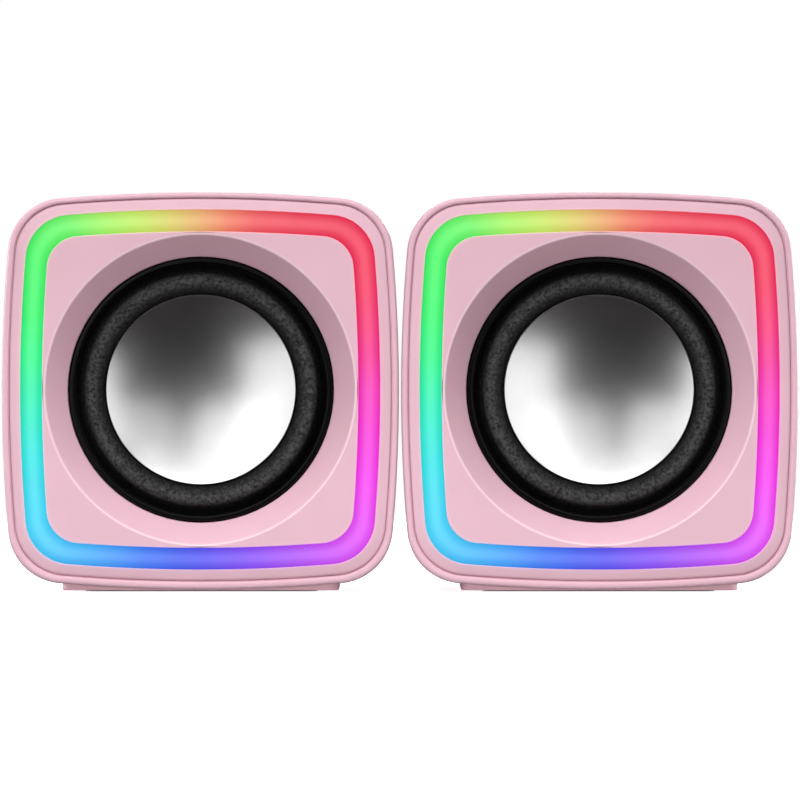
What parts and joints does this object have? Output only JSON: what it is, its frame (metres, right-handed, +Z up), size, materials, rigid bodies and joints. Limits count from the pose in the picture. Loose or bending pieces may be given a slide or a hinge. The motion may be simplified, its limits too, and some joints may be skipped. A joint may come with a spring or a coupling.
{
  "type": "desktop speakers",
  "caption": "Pair of small cube desktop speakers with bowed sides, a coloured light ring round each front, a dished metal cone in a conical recess, and rear volume and light controls.",
  "frame": {"origin": "on the desk surface, midway between the two speakers and midway between the front plane and the end of the volume knob", "axes": "+Z up, the fronts face -Y, +X runs from the left speaker to the right one as a listener sees them"},
  "size_m": [0.1564, 0.08, 0.0785],
  "materials": {
    "cabinet_plastic": "fine satin moulded plastic, pink",
    "front_plastic": "pearly satin moulded plastic, pink",
    "foot_plastic": "satin moulded plastic, pink",
    "diffuser": "milky translucent diffuser, lit from behind in a run of rainbow colours",
    "led_board": "white lacquered circuit board with light chips",
    "foam": "matte black foam gasket",
    "basket_steel": "satin black stamped steel",
    "roll_rubber": "matte black foam rubber with a fine open grain",
    "silver_cone": "satin silver dished cone",
    "copper": "enamelled copper winding on a thin former",
    "spider_cloth": "resin-stiffened woven cloth, corrugated",
    "plated_steel": "zinc-plated steel",
    "ferrite": "dull black ferrite",
    "fibre_board": "brown resin board with tinned tags",
    "wire_sheath": "soft insulated twin lead",
    "black_rubber": "matte black rubber",
    "screw_steel": "blackened cross-head screws",
    "amp_board": "green lacquered circuit board with its components",
    "black_plastic": "black moulded plastic",
    "control_plastic": "satin moulded plastic, a darker pink"
  },
  "bodies": {
    "left_speaker": {"left_cabinet": "cabinet_plastic", "left_front_panel": "front_plastic", "left_light_ring": "diffuser", "left_led_board": "led_board", "left_driver_gasket": "foam", "left_driver_basket": "basket_steel", "left_surround": "roll_rubber", "left_spider": "spider_cloth", "left_top_plate": "plated_steel", "left_magnet": "ferrite", "left_pole_yoke": "plated_steel", "left_terminal_strip": "fibre_board", "left_driver_lead": "wire_sheath", "left_rear_cover": "cabinet_plastic", "left_cable_grommet": "black_rubber", "left_foot": "foot_plastic", "left_foot_pad": "black_rubber", "left_driver_screw_1": "screw_steel", "left_driver_screw_2": "screw_steel", "left_driver_screw_3": "screw_steel", "left_driver_screw_4": "screw_steel", "left_rear_screw_1": "screw_steel", "left_rear_screw_2": "screw_steel", "left_rear_screw_3": "screw_steel", "left_rear_screw_4": "screw_steel"},
    "left_diaphragm": {"left_cone": "silver_cone", "left_voice_coil": "copper"},
    "right_speaker": {"right_cabinet": "cabinet_plastic", "right_front_panel": "front_plastic", "right_light_ring": "diffuser", "right_led_board": "led_board", "right_driver_gasket": "foam", "right_driver_basket": "basket_steel", "right_surround": "roll_rubber", "right_spider": "spider_cloth", "right_top_plate": "plated_steel", "right_magnet": "ferrite", "right_pole_yoke": "plated_steel", "right_terminal_strip": "fibre_board", "right_driver_lead": "wire_sheath", "right_rear_cover": "cabinet_plastic", "right_cable_grommet": "black_rubber", "right_foot": "foot_plastic", "right_foot_pad": "black_rubber", "right_driver_screw_1": "screw_steel", "right_driver_screw_2": "screw_steel", "right_driver_screw_3": "screw_steel", "right_driver_screw_4": "screw_steel", "right_rear_screw_1": "screw_steel", "right_rear_screw_2": "screw_steel", "right_rear_screw_3": "screw_steel", "right_rear_screw_4": "screw_steel", "amp_board": "amp_board", "volume_pot": "black_plastic", "button_switch": "black_plastic"},
    "right_diaphragm": {"right_cone": "silver_cone", "right_voice_coil": "copper"},
    "volume_control": {"volume_shaft": "plated_steel", "volume_knob": "control_plastic"},
    "light_button": {"light_button": "control_plastic"}
  },
  "joints": [
    {"name": "speaker_spacing", "type": "slide", "parent": "left_speaker", "child": "right_speaker", "axis": [1, 0, 0], "range_m": [0, 0.25]},
    {"name": "left_cone_travel", "type": "slide", "parent": "left_speaker", "child": "left_diaphragm", "axis": [0, -1, 0], "range_m": [-0.001, 0.001], "stiffness_N_per_m": 500, "deforming": ["left_surround", "left_spider"]},
    {"name": "right_cone_travel", "type": "slide", "parent": "right_speaker", "child": "right_diaphragm", "axis": [0, -1, 0], "range_m": [-0.001, 0.001], "stiffness_N_per_m": 500, "deforming": ["right_surround", "right_spider"]},
    {"name": "volume_turn", "type": "hinge", "parent": "right_speaker", "child": "volume_control", "pos_m": [0.0392, 0.035, 0.05375], "axis": [0, -1, 0], "range_deg": [0, 300]},
    {"name": "light_press", "type": "slide", "parent": "right_speaker", "child": "light_button", "axis": [0, -1, 0], "range_m": [0, 0.001], "stiffness_N_per_m": 200}
  ]
}
